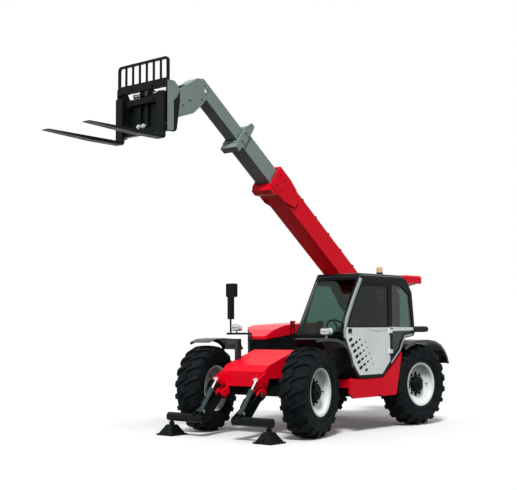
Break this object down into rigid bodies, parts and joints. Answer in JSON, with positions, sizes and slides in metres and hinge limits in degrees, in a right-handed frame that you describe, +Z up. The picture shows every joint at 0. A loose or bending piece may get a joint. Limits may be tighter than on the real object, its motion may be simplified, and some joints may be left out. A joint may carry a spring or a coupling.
{
  "type": "telehandler",
  "caption": "Telehandler with a side cab, a telescopic boom with pallet forks, steered wheels and front stabilisers.",
  "frame": {"origin": "middle of the bounding box, on the ground", "axes": "+X forward along the forks, +Y to the driver's left, +Z up"},
  "size_m": [7.2, 2.463, 4.9842],
  "materials": {
    "red_paint": "gloss red paint",
    "grey_paint": "satin grey-green paint",
    "black_paint": "satin black paint",
    "white_paint": "gloss white paint",
    "rim_paint": "silver-white paint",
    "dark_metal": "dark oiled steel",
    "cast_metal": "cast surface",
    "rod_chrome": "polished chrome",
    "black_plastic": "moulded, fine grain",
    "grey_plastic": "moulded, fine grain",
    "tyre_rubber": "matt rubber",
    "hose_rubber": "matt rubber",
    "seat_fabric": "woven cloth",
    "tinted_glass": "green tint",
    "lamp_glass": "clear lens on a bright bowl",
    "amber_lens": "amber"
  },
  "bodies": {
    "chassis": {"chassis_frame": "red_paint", "tower_cowl": "red_paint", "drive_shafts": "dark_metal", "fuel_tank": "black_plastic", "engine_block": "cast_metal", "engine_panels": "black_plastic", "cab_frame": "black_paint", "cab_roof": "grey_plastic", "windscreen": "tinted_glass", "fixed_glass": "tinted_glass", "dashboard": "black_plastic", "steering_wheel": "black_plastic", "seat_base": "black_paint", "seat_cushion": "seat_fabric", "seat_back": "seat_fabric", "front_fenders": "black_plastic", "rear_fenders": "black_plastic", "headlamps": "lamp_glass", "mirror": "black_plastic", "beacon": "amber_lens", "rear_lamp_housing": "black_plastic", "front_axle": "black_paint", "rear_axle": "black_paint"},
    "door": {"door_panel": "white_paint", "door_window": "tinted_glass"},
    "hood": {"engine_hood": "red_paint"},
    "boom": {"boom_outer": "red_paint", "hose_line": "hose_rubber"},
    "boom_middle": {"boom_middle": "grey_paint"},
    "boom_inner": {"boom_inner": "grey_paint"},
    "carriage": {"fork_carriage": "black_paint", "load_backrest": "black_paint", "forks": "black_paint"},
    "lift_barrel": {"lift_barrel": "black_paint"},
    "lift_rod": {"lift_rod": "rod_chrome"},
    "tilt_barrel": {"tilt_barrel": "black_paint"},
    "tilt_rod": {"tilt_rod": "rod_chrome"},
    "knuckle_front_left": {"knuckle_front_left": "black_paint"},
    "wheel_front_left": {"rim_front_left": "rim_paint", "tyre_front_left": "tyre_rubber"},
    "knuckle_front_right": {"knuckle_front_right": "black_paint"},
    "wheel_front_right": {"rim_front_right": "rim_paint", "tyre_front_right": "tyre_rubber"},
    "knuckle_rear_left": {"knuckle_rear_left": "black_paint"},
    "wheel_rear_left": {"rim_rear_left": "rim_paint", "tyre_rear_left": "tyre_rubber"},
    "knuckle_rear_right": {"knuckle_rear_right": "black_paint"},
    "wheel_rear_right": {"rim_rear_right": "rim_paint", "tyre_rear_right": "tyre_rubber"},
    "stabiliser_leg_left": {"stabiliser_leg_left": "black_paint"},
    "stabiliser_pad_left": {"stabiliser_pad_left": "black_paint"},
    "stabiliser_barrel_left": {"stabiliser_barrel_left": "black_paint"},
    "stabiliser_rod_left": {"stabiliser_rod_left": "rod_chrome"},
    "stabiliser_leg_right": {"stabiliser_leg_right": "black_paint"},
    "stabiliser_pad_right": {"stabiliser_pad_right": "black_paint"},
    "stabiliser_barrel_right": {"stabiliser_barrel_right": "black_paint"},
    "stabiliser_rod_right": {"stabiliser_rod_right": "rod_chrome"}
  },
  "joints": [
    {"name": "steer_front_left", "type": "hinge", "parent": "chassis", "child": "knuckle_front_left", "pos_m": [0.18996, 0.69, 0.625], "axis": [0, 0, 1], "range_deg": [-42, 18]},
    {"name": "roll_front_left", "type": "hinge", "parent": "knuckle_front_left", "child": "wheel_front_left", "pos_m": [0.18996, 0.69, 0.625], "axis": [-0.2079, 0.9781, 0], "continuous": true},
    {"name": "steer_front_right", "type": "hinge", "parent": "chassis", "child": "knuckle_front_right", "pos_m": [0.18996, -0.69, 0.625], "axis": [0, 0, 1], "range_deg": [-42, 18]},
    {"name": "roll_front_right", "type": "hinge", "parent": "knuckle_front_right", "child": "wheel_front_right", "pos_m": [0.18996, -0.69, 0.625], "axis": [-0.2079, 0.9781, 0], "continuous": true},
    {"name": "steer_rear_left", "type": "hinge", "parent": "chassis", "child": "knuckle_rear_left", "pos_m": [-2.50004, 0.69, 0.625], "axis": [0, 0, 1], "range_deg": [-24, 36]},
    {"name": "roll_rear_left", "type": "hinge", "parent": "knuckle_rear_left", "child": "wheel_rear_left", "pos_m": [-2.50004, 0.69, 0.625], "axis": [0.1045, 0.9945, 0], "continuous": true},
    {"name": "steer_rear_right", "type": "hinge", "parent": "chassis", "child": "knuckle_rear_right", "pos_m": [-2.50004, -0.69, 0.625], "axis": [0, 0, 1], "range_deg": [-24, 36]},
    {"name": "roll_rear_right", "type": "hinge", "parent": "knuckle_rear_right", "child": "wheel_rear_right", "pos_m": [-2.50004, -0.69, 0.625], "axis": [0.1045, 0.9945, 0], "continuous": true},
    {"name": "boom_lift", "type": "hinge", "parent": "chassis", "child": "boom", "pos_m": [-3.11004, -0.1, 1.56], "axis": [0, -1, 0], "range_deg": [-40.5, 31.5]},
    {"name": "boom_extend", "type": "slide", "parent": "boom", "child": "boom_middle", "axis": [0.8039, 0, 0.5948], "range_m": [-0.72, 1.75]},
    {"name": "boom_extend_inner", "type": "slide", "parent": "boom_middle", "child": "boom_inner", "axis": [0.8039, 0, 0.5948], "range_m": [-0.72, 1.75]},
    {"name": "carriage_tilt", "type": "hinge", "parent": "boom_inner", "child": "carriage", "pos_m": [1.84974, -0.1, 4.35924], "axis": [0, 1, 0], "range_deg": [-53, 73]},
    {"name": "lift_barrel_swing", "type": "hinge", "parent": "chassis", "child": "lift_barrel", "pos_m": [-2.96004, -0.1, 0.45], "axis": [0, -1, 0], "range_deg": [-16.88, 13.13]},
    {"name": "lift_rod_slide", "type": "slide", "parent": "lift_barrel", "child": "lift_rod", "axis": [0.4771, 0, 0.8789], "range_m": [-0.48024, 0.37354]},
    {"name": "tilt_barrel_swing", "type": "hinge", "parent": "boom_inner", "child": "tilt_barrel", "pos_m": [1.24912, -0.1, 4.76072], "axis": [0, 1, 0], "range_deg": [-1.21, 0.88]},
    {"name": "tilt_rod_slide", "type": "slide", "parent": "tilt_barrel", "child": "tilt_rod", "axis": [0.95, 0, -0.3122], "range_m": [-0.14574, 0.2007]},
    {"name": "door_hinge", "type": "hinge", "parent": "chassis", "child": "door", "pos_m": [-1.61404, 1.116, 1.15], "axis": [0, 0, 1], "range_deg": [0, 90]},
    {"name": "hood_hinge", "type": "hinge", "parent": "chassis", "child": "hood", "pos_m": [-1.16004, -0.406, 1.602], "axis": [-1, 0, 0], "range_deg": [0, 60]},
    {"name": "stabiliser_left_swing", "type": "hinge", "parent": "chassis", "child": "stabiliser_leg_left", "pos_m": [0.56996, 0.37, 0.59], "axis": [0, -1, 0], "range_deg": [0, 40]},
    {"name": "stabiliser_left_pad", "type": "hinge", "parent": "stabiliser_leg_left", "child": "stabiliser_pad_left", "pos_m": [0.98996, 0.9, 0.173], "axis": [0, 1, 0], "range_deg": [-10, 40]},
    {"name": "stabiliser_left_barrel_swing", "type": "hinge", "parent": "stabiliser_leg_left", "child": "stabiliser_barrel_left", "pos_m": [0.94996, 0.37, 0.362], "axis": [0, -1, 0], "range_deg": [-6.24, 0.01]},
    {"name": "stabiliser_left_rod_slide", "type": "slide", "parent": "stabiliser_barrel_left", "child": "stabiliser_rod_left", "axis": [-0.6106, 0, 0.7919], "range_m": [-0.13155, 0.0001]},
    {"name": "stabiliser_right_swing", "type": "hinge", "parent": "chassis", "child": "stabiliser_leg_right", "pos_m": [0.56996, -0.37, 0.59], "axis": [0, -1, 0], "range_deg": [0, 40]},
    {"name": "stabiliser_right_pad", "type": "hinge", "parent": "stabiliser_leg_right", "child": "stabiliser_pad_right", "pos_m": [0.98996, -0.9, 0.173], "axis": [0, 1, 0], "range_deg": [-10, 40]},
    {"name": "stabiliser_right_barrel_swing", "type": "hinge", "parent": "stabiliser_leg_right", "child": "stabiliser_barrel_right", "pos_m": [0.94996, -0.37, 0.362], "axis": [0, -1, 0], "range_deg": [-6.24, 0.01]},
    {"name": "stabiliser_right_rod_slide", "type": "slide", "parent": "stabiliser_barrel_right", "child": "stabiliser_rod_right", "axis": [-0.6106, 0, 0.7919], "range_m": [-0.13155, 0.0001]}
  ],
  "couplings": [
    {"joint": "steer_front_right", "follows": "steer_front_left", "ratio": 1},
    {"joint": "steer_rear_right", "follows": "steer_rear_left", "ratio": 1},
    {"joint": "boom_extend_inner", "follows": "boom_extend", "ratio": 1},
    {"joint": "lift_barrel_swing", "follows": "boom_lift", "ratio": 0.4165},
    {"joint": "lift_rod_slide", "follows": "boom_lift", "m_per_rad": 0.67925},
    {"joint": "tilt_barrel_swing", "follows": "carriage_tilt", "ratio": -0.016441},
    {"joint": "tilt_rod_slide", "follows": "carriage_tilt", "m_per_rad": 0.15745},
    {"joint": "stabiliser_left_barrel_swing", "follows": "stabiliser_left_swing", "ratio": -0.15563},
    {"joint": "stabiliser_left_rod_slide", "follows": "stabiliser_left_swing", "m_per_rad": -0.18829},
    {"joint": "stabiliser_right_barrel_swing", "follows": "stabiliser_right_swing", "ratio": -0.15563},
    {"joint": "stabiliser_right_rod_slide", "follows": "stabiliser_right_swing", "m_per_rad": -0.18829}
  ]
}
